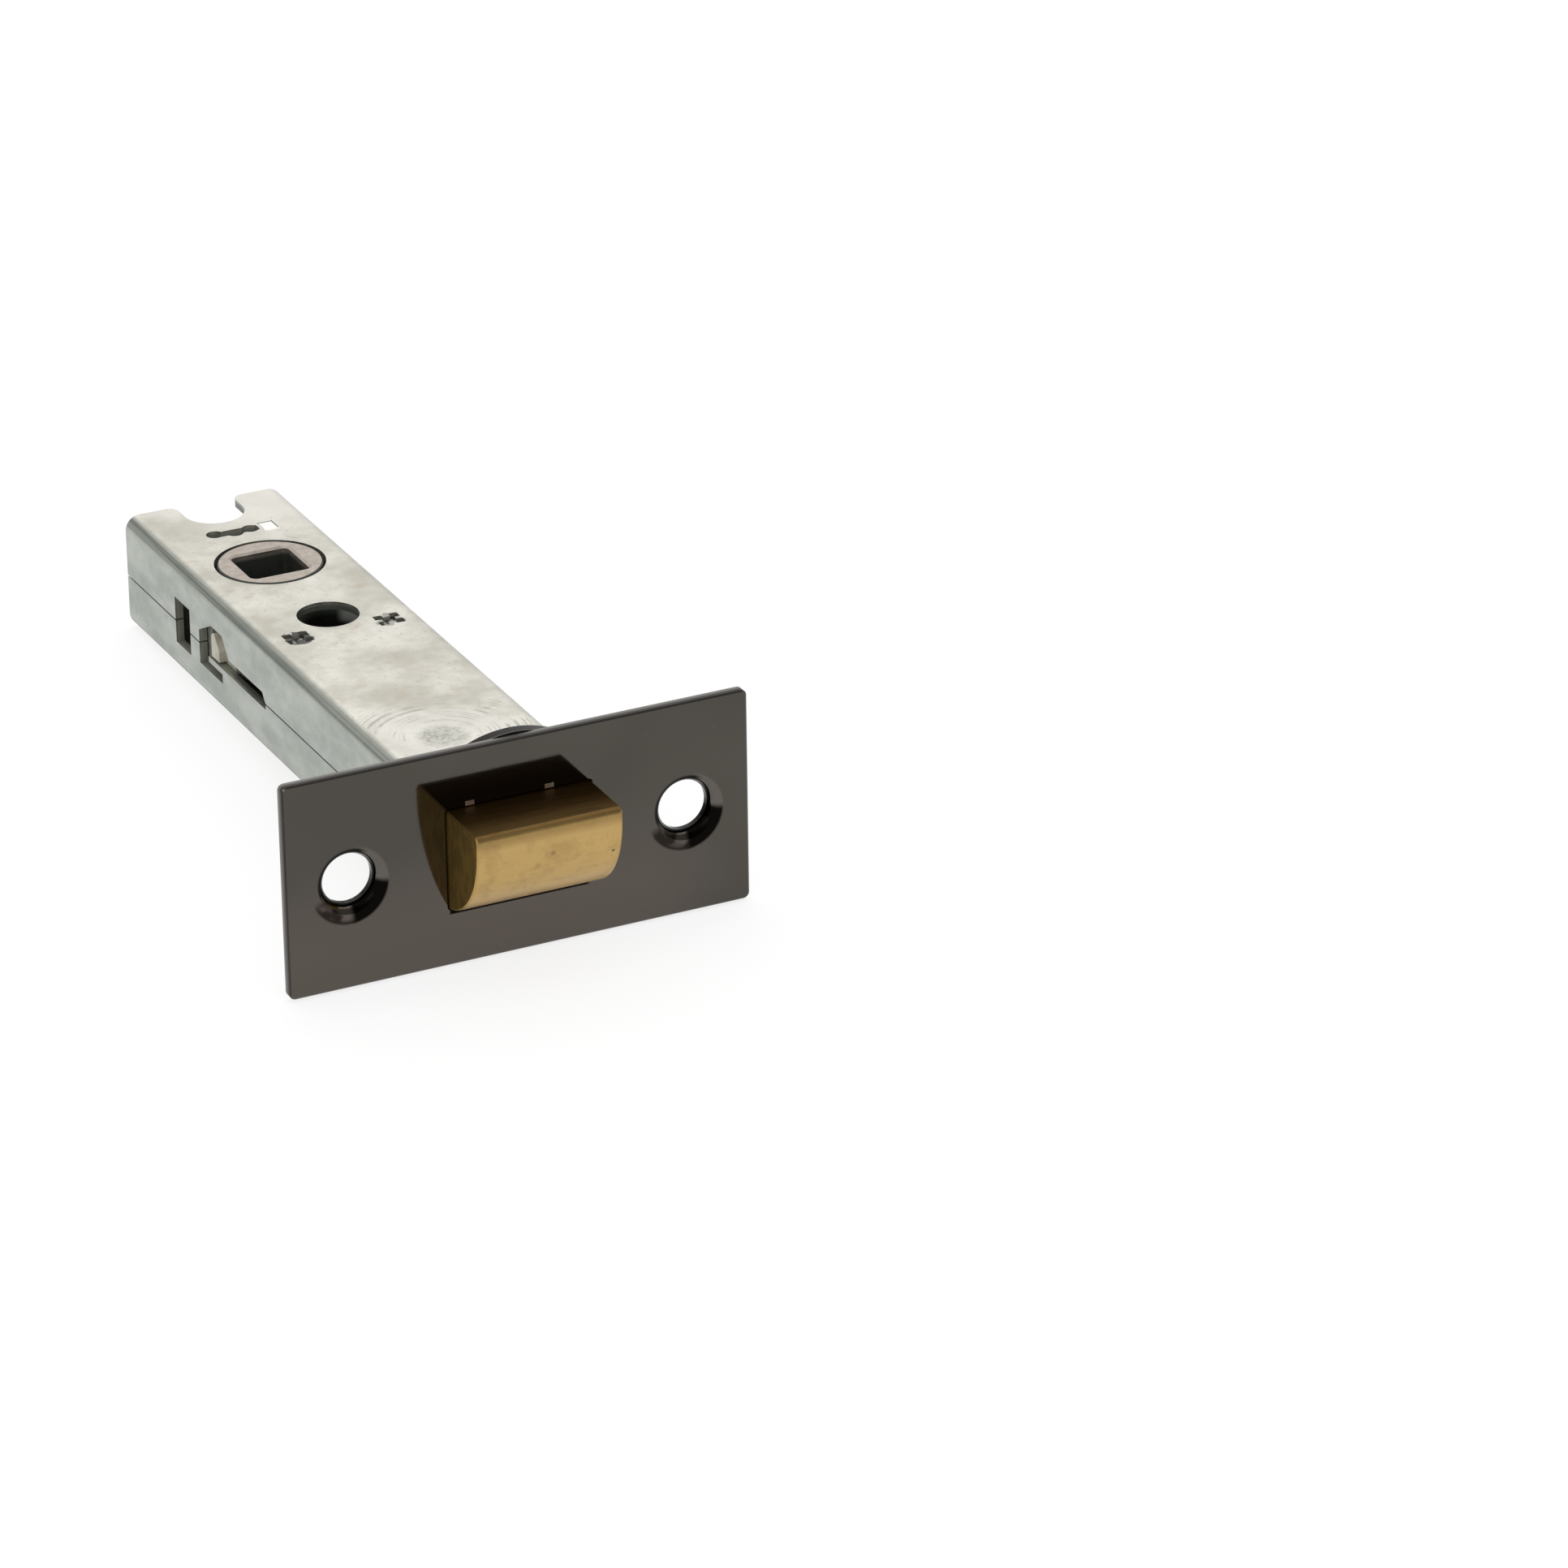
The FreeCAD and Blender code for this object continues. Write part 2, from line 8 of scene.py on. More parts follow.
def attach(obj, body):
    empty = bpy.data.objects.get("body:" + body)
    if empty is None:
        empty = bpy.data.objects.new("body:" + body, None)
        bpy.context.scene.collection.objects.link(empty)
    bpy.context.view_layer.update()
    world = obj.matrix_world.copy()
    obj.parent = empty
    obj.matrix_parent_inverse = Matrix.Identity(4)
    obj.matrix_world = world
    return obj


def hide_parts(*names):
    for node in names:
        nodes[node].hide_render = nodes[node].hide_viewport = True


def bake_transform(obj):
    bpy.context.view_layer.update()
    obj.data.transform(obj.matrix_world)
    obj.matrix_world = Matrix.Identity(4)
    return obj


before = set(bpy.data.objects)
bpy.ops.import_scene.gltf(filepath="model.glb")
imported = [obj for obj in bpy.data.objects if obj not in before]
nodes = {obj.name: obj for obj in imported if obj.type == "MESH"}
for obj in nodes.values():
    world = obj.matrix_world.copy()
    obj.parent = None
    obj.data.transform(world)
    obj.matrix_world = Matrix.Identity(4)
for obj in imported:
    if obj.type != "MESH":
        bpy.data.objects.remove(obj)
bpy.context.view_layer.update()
MM = 0.001


def reach_of(name):
    """The low and high corners of a CAD node, in millimetres."""
    corners = [vertex.co / MM for vertex in nodes[name].data.vertices]
    return [Vector(pick(corner[axis] for corner in corners) for axis in range(3)) for pick in (min, max)]


# Places on the latch, from the frame, in millimetres
case_low = reach_of("case_lower")[0]
case_high = reach_of("case_upper")[1]
collar_low = reach_of("collar")[0]
forend_low, forend_high = reach_of("forend")
bolt_low, bolt_high = reach_of("latch_bolt")
follower_high = reach_of("follower")[1]

# Places and sizes of the sheet and the springs, in millimetres
SCREW_PLACES = (-22.5, 22.5)
FOLLOWER_PLACE = 76.1
BEND_RADIUS = 2.0
PLATE_FRONT, PLATE_BACK = 51.35, 52.85
BOLT_TAIL, SLIDE_FRONT = 16.6, 64.9
BOLT_COIL = {"radius": 3.45, "wire": 1.0, "turns": 8}
RETURN_COIL = {"radius": 1.45, "wire": 0.75, "turns": 5}
RETURN_PLACE = 6.55

# Heads of the slide's lugs: corners of the right one, foot of its front slope and its rear corner
LUG_LOW, LUG_HIGH = Vector((9.5, 67.9, -0.95)), Vector((10.9, 70.4, 2.55))
LUG_SLOPE = 0.7
LUG_CORNER = 1.0
CORNER_STEPS = 8

# Marks on the case, in millimetres: stakes with the strength of their painted shade, arcs of wear, a
# near-white patch on a lug, pale rear, and the reach of the painted shade in the guide slot
STAKES = ((-6.3, 0.95), (6.3, 0.45))
WORN_SPOT = (-2.2, 16.2, 0.0)
WHITE_PATCH_X, WHITE_PATCH_Y = (3.9, 5.1), (86.3, 88.3)
PALE_REAR_X, PALE_REAR_Y = (-10.0, 5.0), (82.0, 92.0)
SLOT_SHADE_Y = (66.0, 63.0)

# Dishes of the screw holes, in millimetres: drop of the shaded rim, and the rim's outer and inner edge
DISH_DROP = Vector((-0.1, 0.0, -0.55))
DISH_OUTER, DISH_INNER = 5.3, 4.9

# Stains on the bolt: place and size in millimetres, and darkness
BOLT_STAINS = (((0.4, -10.3, 2.5), 0.45, 0.4), ((8.6, -9.8, 0.9), 0.32, 0.8),
               ((8.6, -9.6, -0.1), 0.2, 0.7), ((-1.5, -10.2, 1.0), 0.7, 0.25))

# Camera fitted to the photograph
EYE = Vector((-0.34488, -0.78113, 0.40568))
AZIMUTH = math.radians(-26.029)
ELEVATION = math.radians(25.0397)
ROLL = math.radians(-0.7325)
LENS = 177.64
SENSOR = 36.0

# Studio in metres: floor, level of the white world as a light, and the dark side of the room in mirrors
FLOOR_REACH = 3.0
FLOOR_GAP = 0.02 * MM
FLOOR_SHADING = 0.25
FLOOR_WHITE = 1.05
WORLD_LIGHT = 0.85
DARK_SIDE = Vector((0.40, -0.81, 0.43))
DARKNESS = 0.72


class Nodes:
    """A node tree with short calls that add and link nodes."""

    def __init__(self, tree, coordinates):
        self.tree = tree
        self.place = self.add("ShaderNodeTexCoord").outputs[coordinates]

    def add(self, kind, links=None, **settings):
        """Adds a node, sets its properties and links or sets its inputs."""
        node = self.tree.nodes.new(kind)
        for key, value in settings.items():
            setattr(node, key, value)
        for key, value in (links or {}).items():
            self.put(node.inputs[key], value)
        return node

    def put(self, socket, value):
        """Links a socket, or sets it to a constant."""
        if isinstance(value, bpy.types.NodeSocket):
            self.tree.links.new(value, socket)
        else:
            socket.default_value = value

    def math(self, operation, first, second=0.0):
        """One sum, product or other operation."""
        return self.add("ShaderNodeMath", {0: first, 1: second}, operation=operation).outputs[0]

    def times(self, first, *others):
        """A product of several values."""
        for other in others:
            first = self.math("MULTIPLY", first, other)
        return first

    def most(self, first, *others):
        """The largest of several values."""
        for other in others:
            first = self.math("MAXIMUM", first, other)
        return first

    def span(self, value, low, high, out_low=0.0, out_high=1.0):
        """A value moved from one range to another, held at both ends."""
        made = self.add("ShaderNodeMapRange", {"Value": value, "From Min": low, "From Max": high,
                                               "To Min": out_low, "To Max": out_high})
        made.interpolation_type = "SMOOTHSTEP"
        return made.outputs["Result"]

    def split(self, vector):
        """The three parts of a vector."""
        return self.add("ShaderNodeSeparateXYZ", {"Vector": vector}).outputs[:3]


class Shader(Nodes):
    """A material of one surface shader."""

    def __init__(self, name, **settings):
        self.material = bpy.data.materials.new(name)
        self.material.use_nodes = True
        super().__init__(self.material.node_tree, "Object")
        self.bsdf = self.tree.nodes["Principled BSDF"]
        for key, value in settings.items():
            self.set(key, value)

    def set(self, name, value):
        """Feeds one input of the surface shader."""
        self.put(self.bsdf.inputs[name], value)

    def scaled(self, x, y, z):
        """Coordinates on the object in millimetres, stretched by three factors."""
        stretch = (x / MM, y / MM, z / MM)
        return self.add("ShaderNodeMapping", {"Vector": self.place, "Scale": stretch}).outputs["Vector"]

    def noise(self, x, y=None, z=None, detail=3.0, roughness=0.55, distortion=0.0):
        """Noise with so many features per millimetre along each axis."""
        where = self.scaled(x, x if y is None else y, x if z is None else z)
        made = self.add("ShaderNodeTexNoise", {"Vector": where, "Scale": 1.0, "Detail": detail,
                                               "Roughness": roughness, "Distortion": distortion})
        return made.outputs["Fac"]

    def specks(self, density, size, share):
        """Round specks in cells of so many per millimetre, of which only a share shows."""
        where = self.scaled(density, density, density)
        cells = self.add("ShaderNodeTexVoronoi", {"Vector": where, "Scale": 1.0})
        chosen = self.span(self.split(cells.outputs["Color"])[0], share, share - 0.05)
        return self.times(self.span(cells.outputs["Distance"], size * density, 0.0), chosen)

    def mix(self, factor, first, second):
        """Two colours blended."""
        made = self.add("ShaderNodeMix", data_type="RGBA")
        self.put(made.inputs["Factor"], factor)
        self.put(made.inputs[6], first)
        self.put(made.inputs[7], second)
        return made.outputs[2]

    def bump(self, height, strength, distance, normal=None):
        """Fine relief from a height."""
        links = {"Height": height, "Strength": strength, "Distance": distance * MM}
        if normal is not None:
            links["Normal"] = normal
        return self.add("ShaderNodeBump", links).outputs["Normal"]

    def axes(self):
        """The three coordinates on the object, in millimetres."""
        return self.split(self.scaled(1, 1, 1))

    def normal(self):
        """The three parts of the surface's own normal."""
        return self.split(self.add("ShaderNodeNewGeometry").outputs["Normal"])

    def facing(self):
        """The sizes of the three parts of the surface's own normal."""
        return [self.math("ABSOLUTE", part) for part in self.normal()]

    def distance(self, x, y, z, centre):
        """How far a point lies from a centre, in millimetres."""
        point = self.add("ShaderNodeCombineXYZ", {"X": x, "Y": y, "Z": z}).outputs[0]
        return self.add("ShaderNodeVectorMath", {0: point, 1: centre}, operation="DISTANCE").outputs["Value"]

    def beyond(self, value, limit):
        """How far a value lies past a limit on either side of zero."""
        return self.most(self.math("SUBTRACT", self.math("ABSOLUTE", value), limit), 0.0)

    def within(self, value, low, high, soft):
        """A soft band that is one between two limits."""
        return self.times(self.span(value, low - soft, low), self.span(value, high, high + soft, 1.0, 0.0))


def rgb(red, green, blue):
    """A linear colour with full alpha."""
    return (red, green, blue, 1.0)


def zinc_skin(made, x, y):
    """Zinc on the broad faces: mottled, stained and grainy, and palest at the rear right."""
    patches = made.span(made.noise(0.10, detail=8.0, roughness=0.68), 0.36, 0.64)
    colour = made.mix(patches, rgb(0.47, 0.45, 0.39), rgb(0.66, 0.645, 0.585))
    stains = made.span(made.noise(0.24, detail=6.0, roughness=0.7), 0.55, 0.70)
    colour = made.mix(made.times(stains, 0.5), colour, rgb(0.44, 0.375, 0.30))
    grain = made.span(made.noise(1.6, detail=5.0, roughness=0.75), 0.50, 0.68)
    colour = made.mix(made.times(grain, 0.5), colour, rgb(0.36, 0.35, 0.31))
    rear = made.times(made.span(y, *PALE_REAR_Y), made.span(x, *PALE_REAR_X), 0.75)
    return made.mix(rear, colour, rgb(0.71, 0.695, 0.64))


def add_sides_and_bends(made, colour, x):
    """Painted shade on the cloudy sides, and painted shade with dark streaks along the bends, weaker to the
    right.
    """
    facing_x, facing_y, facing_z = made.facing()
    cloudy = made.span(made.noise(0.3, 0.10, 0.3, detail=4.0), 0.35, 0.65)
    # Painted shade: the faces that look sideways get a darker colour.
    shaded_side_colour = made.mix(cloudy, rgb(0.355, 0.38, 0.345), rgb(0.445, 0.47, 0.43))
    colour = made.mix(made.span(facing_x, 0.55, 0.95), colour, shaded_side_colour)
    flatness = made.most(facing_x, facing_y, facing_z)
    # Painted shade along the bends, streaked, and weaker to the right.
    bend_shade = made.times(made.span(flatness, 0.84, 0.995, 1.0, 0.0), made.span(x, -6.0, 6.0, 1.0, 0.25))
    streaks = made.span(made.noise(2.4, 0.02, 2.4, detail=2.0), 0.42, 0.58)
    return made.mix(bend_shade, colour, made.mix(streaks, rgb(0.15, 0.163, 0.143), rgb(0.27, 0.285, 0.253)))


def add_worn_arcs(made, colour, x, y, flat_top):
    """Curved scratches, a dull spot and a bright halo on top of the case near the forend."""
    away = made.distance(x, y, 0.0, WORN_SPOT)
    halo = made.times(made.within(away, 3.5, 7.5, 2.5), flat_top)
    colour = made.mix(made.times(halo, 0.4), colour, rgb(0.70, 0.69, 0.65))
    rings = made.add("ShaderNodeTexNoise", {"W": away, "Scale": 1.6, "Detail": 2.0}, noise_dimensions="1D")
    lines = made.span(rings.outputs["Fac"], 0.50, 0.60)
    broken = made.span(made.noise(0.22, detail=3.0), 0.42, 0.58)
    arcs = made.times(made.within(away, 5.5, 11.5, 1.5), lines, broken, flat_top)
    colour = made.mix(made.times(arcs, 0.62), colour, rgb(0.30, 0.295, 0.26))
    pitted = made.span(made.noise(1.6, detail=4.0, roughness=0.7), 0.42, 0.62)
    spot = made.times(made.span(away, 2.0, 4.0, 1.0, 0.0), flat_top, made.span(pitted, 0.0, 1.0, 0.45, 1.0))
    return made.mix(made.times(spot, 0.9), colour, rgb(0.33, 0.33, 0.295)), arcs


def add_stakes(made, colour, x, y, flat_top):
    """Painted shade, dark and ragged, in the dents around the staked tabs on top of the case."""
    for place, strength in STAKES:
        away = made.distance(x, y, 0.0, (place, (PLATE_FRONT + PLATE_BACK) / 2, 0.0))
        ragged = made.math("ADD", away, made.span(made.noise(0.6, detail=1.0), 0.35, 0.65, -0.45, 0.45))
        # Painted shade in the stake dents.
        stake_shade = made.times(made.span(ragged, 1.9, 1.6), flat_top, strength)
        colour = made.mix(stake_shade, colour, rgb(0.045, 0.048, 0.04))
    return colour


def sheet_depth(made, x, z):
    """How far a point lies under the outer skin of the folded case, in millimetres."""
    beyond_x = made.beyond(x, case_high.x - BEND_RADIUS)
    beyond_z = made.beyond(z, case_high.z - BEND_RADIUS)
    return made.math("SUBTRACT", BEND_RADIUS, made.distance(beyond_x, beyond_z, 0.0, (0, 0, 0)))


def make_zinc():
    """Bright zinc sheet: mottled, with painted shade on the sides and along the bends, dark grey at cuts and
    inside (partly painted shade), painted near-black shade in the guide slot and a painted brass-tan
    reflection on the ends of the tabs.
    """
    made = Shader("zinc_sheet")
    x, y, z = made.axes()
    flat_top = made.span(made.normal()[2], 0.93, 0.995)
    colour = add_sides_and_bends(made, zinc_skin(made, x, y), x)
    colour, arcs = add_worn_arcs(made, colour, x, y, flat_top)
    colour = made.mix(made.times(made.specks(0.7, 0.22, 0.30), 0.55), colour, rgb(0.16, 0.155, 0.13))
    colour = add_stakes(made, colour, x, y, flat_top)
    # A near-white, smoother patch on a lug near the rear.
    white_patch = made.times(made.within(x, *WHITE_PATCH_X, 0.7), made.within(y, *WHITE_PATCH_Y, 0.8), flat_top)
    colour = made.mix(white_patch, colour, rgb(0.98, 0.98, 0.95))
    # Painted reflection: the ends of the tabs in front of the forend are coloured a bright brass tan.
    tab_reflection = made.span(y, -0.2, -0.6)
    colour = made.mix(made.times(tab_reflection, 0.8), colour, rgb(0.75, 0.60, 0.45))
    # Cut edges and faces inside the sheet: dull grey, partly painted shade, turning to painted near-black
    # shade on the walls of the guide slot.
    buried = made.times(made.span(sheet_depth(made, x, z), 0.10, 0.55), made.span(y, -0.6, -0.2))
    inner = made.mix(made.span(y, *SLOT_SHADE_Y), rgb(0.15, 0.163, 0.132), rgb(0.05, 0.056, 0.045))
    made.set("Base Color", made.mix(made.times(buried, 0.9), colour, inner))
    made.set("Metallic", made.span(buried, 0.0, 1.0, 1.0, 0.25))
    dull = made.span(made.noise(0.5, detail=4.0), 0.3, 0.7, 0.36, 0.50)
    made.set("Roughness", made.math("SUBTRACT", dull, made.times(white_patch, 0.25)))
    relief = made.bump(made.noise(1.1, detail=5.0, roughness=0.65), 0.16, 0.03)
    made.set("Normal", made.bump(arcs, 0.35, 0.02, relief))
    return made.material


def shade_dish(made, colour, x, z, place):
    """A screw hole's dish in painted reflections and shade: black to the lower right, brown and cloudy below,
    pale to the upper right, and dark painted shade around the hole's edge, widest on the upper left.
    """
    turned = made.math("ARCTAN2", z, made.math("SUBTRACT", x, place))
    out = made.distance(x, 0.0, z, (place, 0, 0))
    dropped = made.distance(x, 0.0, z, Vector((place, 0, 0)) + DISH_DROP)
    dish = made.span(dropped, DISH_OUTER, DISH_INNER)
    pale = made.times(made.within(turned, -0.1, 1.0, 0.5), dish, 0.8)
    colour = made.mix(pale, colour, rgb(0.125, 0.113, 0.10))
    cloud = made.times(made.span(made.noise(0.4, detail=1.0), 0.40, 0.60), made.span(dropped, 5.0, 4.3))
    brown = made.mix(cloud, rgb(0.022, 0.018, 0.015), rgb(0.10, 0.085, 0.072))
    colour = made.mix(made.times(made.within(turned, -2.5, -1.6, 0.3), dish), colour, brown)
    black = made.times(made.within(turned, -1.45, -0.25, 0.2), dish)
    far_side = made.math("SUBTRACT", 1.0, made.within(turned, -2.5, 0.9, 0.4))
    # Painted shade: dark around the hole's edge, in a wider band on the upper left side.
    rim = made.most(made.span(out, 3.6, 3.45), made.times(made.span(out, 4.45, 4.1), far_side))
    return made.mix(made.most(black, rim), colour, rgb(0.004, 0.0035, 0.003))


def make_black_nickel():
    """Dark mirror plating with a faint waviness, dust and hairlines, painted reflections and shade in the
    screw dishes, painted pinkish light low on the face, a painted shadow line under the bolt, and dull
    sheared edges with a painted highlight toward the back.
    """
    made = Shader("black_nickel", Metallic=1.0)
    x, y, z = made.axes()
    facing_x, _, facing_z = made.facing()
    cloud = made.span(made.noise(0.045, detail=2.0), 0.35, 0.65)
    colour = made.mix(cloud, rgb(0.076, 0.070, 0.0605), rgb(0.084, 0.077, 0.0665))
    # Painted light: lighter and pinker toward the bottom of the face, fading out at the far right end.
    rosy_lower_sheen = made.times(made.span(z, 4.0, -9.0), made.span(x, 30.0, 16.0))
    colour = made.mix(made.times(rosy_lower_sheen, 0.9), colour, rgb(0.107, 0.0915, 0.0805))
    for place in SCREW_PLACES:
        colour = shade_dish(made, colour, x, z, place)
    # Painted shadow: a dark line on the face just below the bolt's opening.
    bolt_shadow_line = made.times(made.within(x, bolt_low.x + 0.3, bolt_high.x - 0.8, 0.4),
                     made.within(z, bolt_low.z - 0.65, bolt_low.z, 0.2))
    colour = made.mix(bolt_shadow_line, colour, rgb(0.004, 0.0035, 0.003))
    dust = made.specks(1.1, 0.14, 0.12)
    colour = made.mix(made.times(dust, 0.5), colour, rgb(0.16, 0.15, 0.135))
    # The sheared edges: near black toward the front, grey toward the back, the grey being partly a painted
    # highlight.
    outer = made.most(made.span(made.math("ABSOLUTE", x), forend_high.x - 1.5, forend_high.x - 1.0),
                      made.span(made.math("ABSOLUTE", z), forend_high.z - 1.5, forend_high.z - 1.0))
    edge = made.times(made.span(made.most(facing_x, facing_z), 0.55, 0.85), outer)
    back = made.span(y, forend_low.y + 0.4, -0.1)
    colour = made.mix(edge, colour, made.mix(back, rgb(0.018, 0.015, 0.014), rgb(0.20, 0.19, 0.175)))
    behind = made.span(y, 0.0, 0.15)
    made.set("Base Color", made.mix(behind, colour, rgb(0.010, 0.008, 0.007)))
    hairlines = made.noise(0.25, 8.0, 8.0, detail=2.0)
    polish = made.span(hairlines, 0.3, 0.75, 0.05, 0.11)
    made.set("Roughness", made.math("ADD", polish, made.times(edge, 0.3)))
    made.set("Normal", made.bump(made.noise(0.30, detail=1.0), 0.05, 0.03))
    return made.material


def make_brass():
    """Brass with faint brushing along the bolt, cloudy tarnishing, painted shade on its upward faces and
    across the top of its front, a painted lighter lower front and a few dark stains.
    """
    made = Shader("brushed_brass", Metallic=1.0)
    x, y, z = made.axes()
    facing_x, facing_y, _ = made.facing()
    front = made.span(facing_y, 0.3, 0.7)
    brushing = made.noise(0.12, 4.0, 4.0, detail=4.0, roughness=0.6)
    colour = made.mix(made.span(brushing, 0.30, 0.70), rgb(0.50, 0.338, 0.130), rgb(0.56, 0.382, 0.150))
    cloud = made.span(made.noise(0.35, detail=5.0, roughness=0.6, distortion=0.6), 0.44, 0.68)
    colour = made.mix(made.times(cloud, 0.6), colour, rgb(0.40, 0.265, 0.105))
    flecks = made.span(made.noise(1.5, detail=4.0, roughness=0.7), 0.56, 0.74)
    colour = made.mix(made.times(flecks, 0.35), colour, rgb(0.34, 0.225, 0.09))
    # Painted light: the lower part of the bolt's front face is lighter.
    lit_lower_front = made.times(made.span(z, -1.0, -5.0), front)
    colour = made.mix(made.times(lit_lower_front, 0.5), colour, rgb(0.66, 0.47, 0.235))
    streaked = made.span(made.noise(0.9, 0.9, 0.4, detail=4.0), 0.36, 0.64)
    end_colour = made.mix(streaked, rgb(0.215, 0.132, 0.016), rgb(0.35, 0.22, 0.034))
    colour = made.mix(made.times(made.span(facing_x, 0.6, 0.9), 0.8), colour, end_colour)
    shaded = made.times(made.span(z, bolt_high.z - 2.4, bolt_high.z - 0.9), front, 0.55)
    colour = made.mix(shaded, colour, rgb(0.24, 0.15, 0.05))
    # Painted shade on the bolt's upward faces, deepest next to the forend.
    fading = made.span(y, bolt_low.y + 0.2, forend_low.y - 2.5, 0.84, 0.97)
    top_shade = made.times(made.span(made.normal()[2], 0.15, 1.0), fading)
    colour = made.mix(top_shade, colour, rgb(0.0545, 0.0249, 0.0035))
    for place, size, strength in BOLT_STAINS:
        near = made.span(made.distance(x, y, z, place), size, 0.4 * size)
        colour = made.mix(made.times(near, strength), colour, rgb(0.10, 0.075, 0.055))
    made.set("Base Color", colour)
    made.set("Roughness", made.span(brushing, 0.3, 0.7, 0.40, 0.50))
    made.set("Normal", made.bump(brushing, 0.05, 0.02))
    return made.material


def make_cast(name, low, high, roughness, metallic=1.0):
    """A dull cast or drawn metal with a fine grain."""
    made = Shader(name, Metallic=metallic)
    grain = made.noise(1.8, detail=5.0, roughness=0.7)
    made.set("Base Color", made.mix(made.span(grain, 0.34, 0.66), rgb(*low), rgb(*high)))
    made.set("Roughness", made.span(made.noise(0.6), 0.3, 0.7, roughness - 0.07, roughness + 0.07))
    made.set("Normal", made.bump(grain, 0.2, 0.03))
    return made.material


def make_tube_steel():
    """Dull tube wall, black where it turns from the light, with a painted highlight along its upper right."""
    made = Shader("tube_steel", Metallic=0.5)
    x, _, z = made.axes()
    grain = made.span(made.noise(1.8, detail=5.0, roughness=0.7), 0.34, 0.66)
    colour = made.mix(grain, rgb(0.07, 0.08, 0.067), rgb(0.11, 0.122, 0.104))
    black = made.times(made.span(x, -3.4, -0.6), made.span(z, 6.9, 5.6, 0.55, 1.0))
    colour = made.mix(black, colour, rgb(0.008, 0.009, 0.007))
    # Painted highlight on the upper right of the tube wall.
    right_highlight = made.times(made.span(x, 2.3, 3.4), made.span(z, 4.8, 6.0))
    made.set("Base Color", made.mix(made.times(right_highlight, 0.7), colour, rgb(0.42, 0.435, 0.40)))
    made.set("Roughness", made.span(made.noise(0.6), 0.3, 0.7, 0.33, 0.47))
    made.set("Normal", made.bump(grain, 0.2, 0.03))
    return made.material


def make_follower_metal():
    """Rosy cast metal on the follower's end faces, with painted shade in its hole and in the gap at its rim,
    grey around its body.
    """
    made = Shader("follower_cast")
    x, y, z = made.axes()
    facing_z = made.facing()[2]
    grain = made.noise(0.9, detail=5.0, roughness=0.7)
    colour = made.mix(made.span(grain, 0.34, 0.66), rgb(0.36, 0.315, 0.275), rgb(0.46, 0.41, 0.36))
    out = made.distance(x, y, 0.0, (0.0, FOLLOWER_PLACE, 0.0))
    # Painted shade in the clearance gap at the rim and on the walls of the square hole.
    rim = made.times(made.span(out, 6.2, 6.6), made.span(facing_z, 0.95, 0.80))
    deep = made.span(made.math("ABSOLUTE", z), follower_high.z - 0.2, follower_high.z - 1.2)
    gap_and_hole_shade = made.most(rim, deep)
    colour = made.mix(gap_and_hole_shade, colour, rgb(0.034, 0.036, 0.029))
    body = made.times(made.span(out, 7.2, 7.4), made.span(facing_z, 0.5, 0.3))
    made.set("Base Color", made.mix(body, colour, rgb(0.42, 0.44, 0.36)))
    made.set("Metallic", made.span(gap_and_hole_shade, 0.0, 1.0, 1.0, 0.3))
    made.set("Roughness", made.span(made.noise(0.6), 0.3, 0.7, 0.38, 0.52))
    made.set("Normal", made.bump(grain, 0.15, 0.03))
    return made.material


def make_nylon():
    """Off-white nylon with a matt moulded skin, with painted shade where it runs inside the case."""
    made = Shader("nylon", Metallic=0.0)
    x = made.axes()[0]
    cloud = made.span(made.noise(0.5, detail=3.0), 0.35, 0.65)
    colour = made.mix(cloud, rgb(0.38, 0.36, 0.29), rgb(0.48, 0.46, 0.375))
    # Painted shade on the part of the slide inside the case.
    inside_shade = made.span(made.math("ABSOLUTE", x), 8.6, 8.0)
    made.set("Base Color", made.mix(made.times(inside_shade, 0.6), colour, rgb(0.10, 0.095, 0.08)))
    made.set("Roughness", made.span(made.noise(2.0), 0.3, 0.7, 0.42, 0.58))
    made.set("Normal", made.bump(made.noise(4.0, detail=2.0), 0.15, 0.02))
    return made.material


def add_object(name, data):
    """Puts a mesh, a light or a camera in the scene."""
    made = bpy.data.objects.new(name, data)
    bpy.context.scene.collection.objects.link(made)
    return made


def add_piece(name, corners, faces, material):
    """A mesh from corners in metres, with one material."""
    mesh = bpy.data.meshes.new(name)
    mesh.from_pydata(corners, [], faces)
    mesh.update()
    mesh.materials.append(material)
    return add_object(name, mesh)


def make_coil(name, coil, x, start, end, share, material):
    """A smooth stretch of a spring's coil between two seats, over a share of its turns."""
    around, across = 24, 10
    pitch = (end - start - coil["wire"]) / coil["turns"]
    first_turn, last_turn = (coil["turns"] * part for part in share)
    steps = round((last_turn - first_turn) * around)
    climb = pitch / (2 * math.pi * coil["radius"])
    corners = []
    for step in range(steps + 1):
        turned = first_turn + step / around
        angle = 2 * math.pi * turned
        out = Vector((math.cos(angle), 0, math.sin(angle)))
        along = Vector((-math.sin(angle), climb, math.cos(angle))).normalized()
        side = along.cross(out)
        middle = Vector((x, start + coil["wire"] / 2 + pitch * turned, 0)) + out * coil["radius"]
        for turn in range(across):
            tilt = 2 * math.pi * turn / across
            skin = (out * math.cos(tilt) + side * math.sin(tilt)) * coil["wire"] / 2
            corners.append((middle + skin) * MM)
    faces = []
    for step in range(steps):
        for turn in range(across):
            first = step * across + turn
            second = step * across + (turn + 1) % across
            faces.append((first, second, second + across, first + across))
    faces.append(tuple(reversed(range(across))))
    faces.append(tuple(range(len(corners) - across, len(corners))))
    made = add_piece(name, corners, faces, material)
    made.data.shade_smooth()
    return made


def press(coil, node):
    """Has a coil, built between two bodies' seats, stand in for a spring of the part: bakes its transform and
    hides the part.
    """
    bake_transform(coil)
    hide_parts(node)


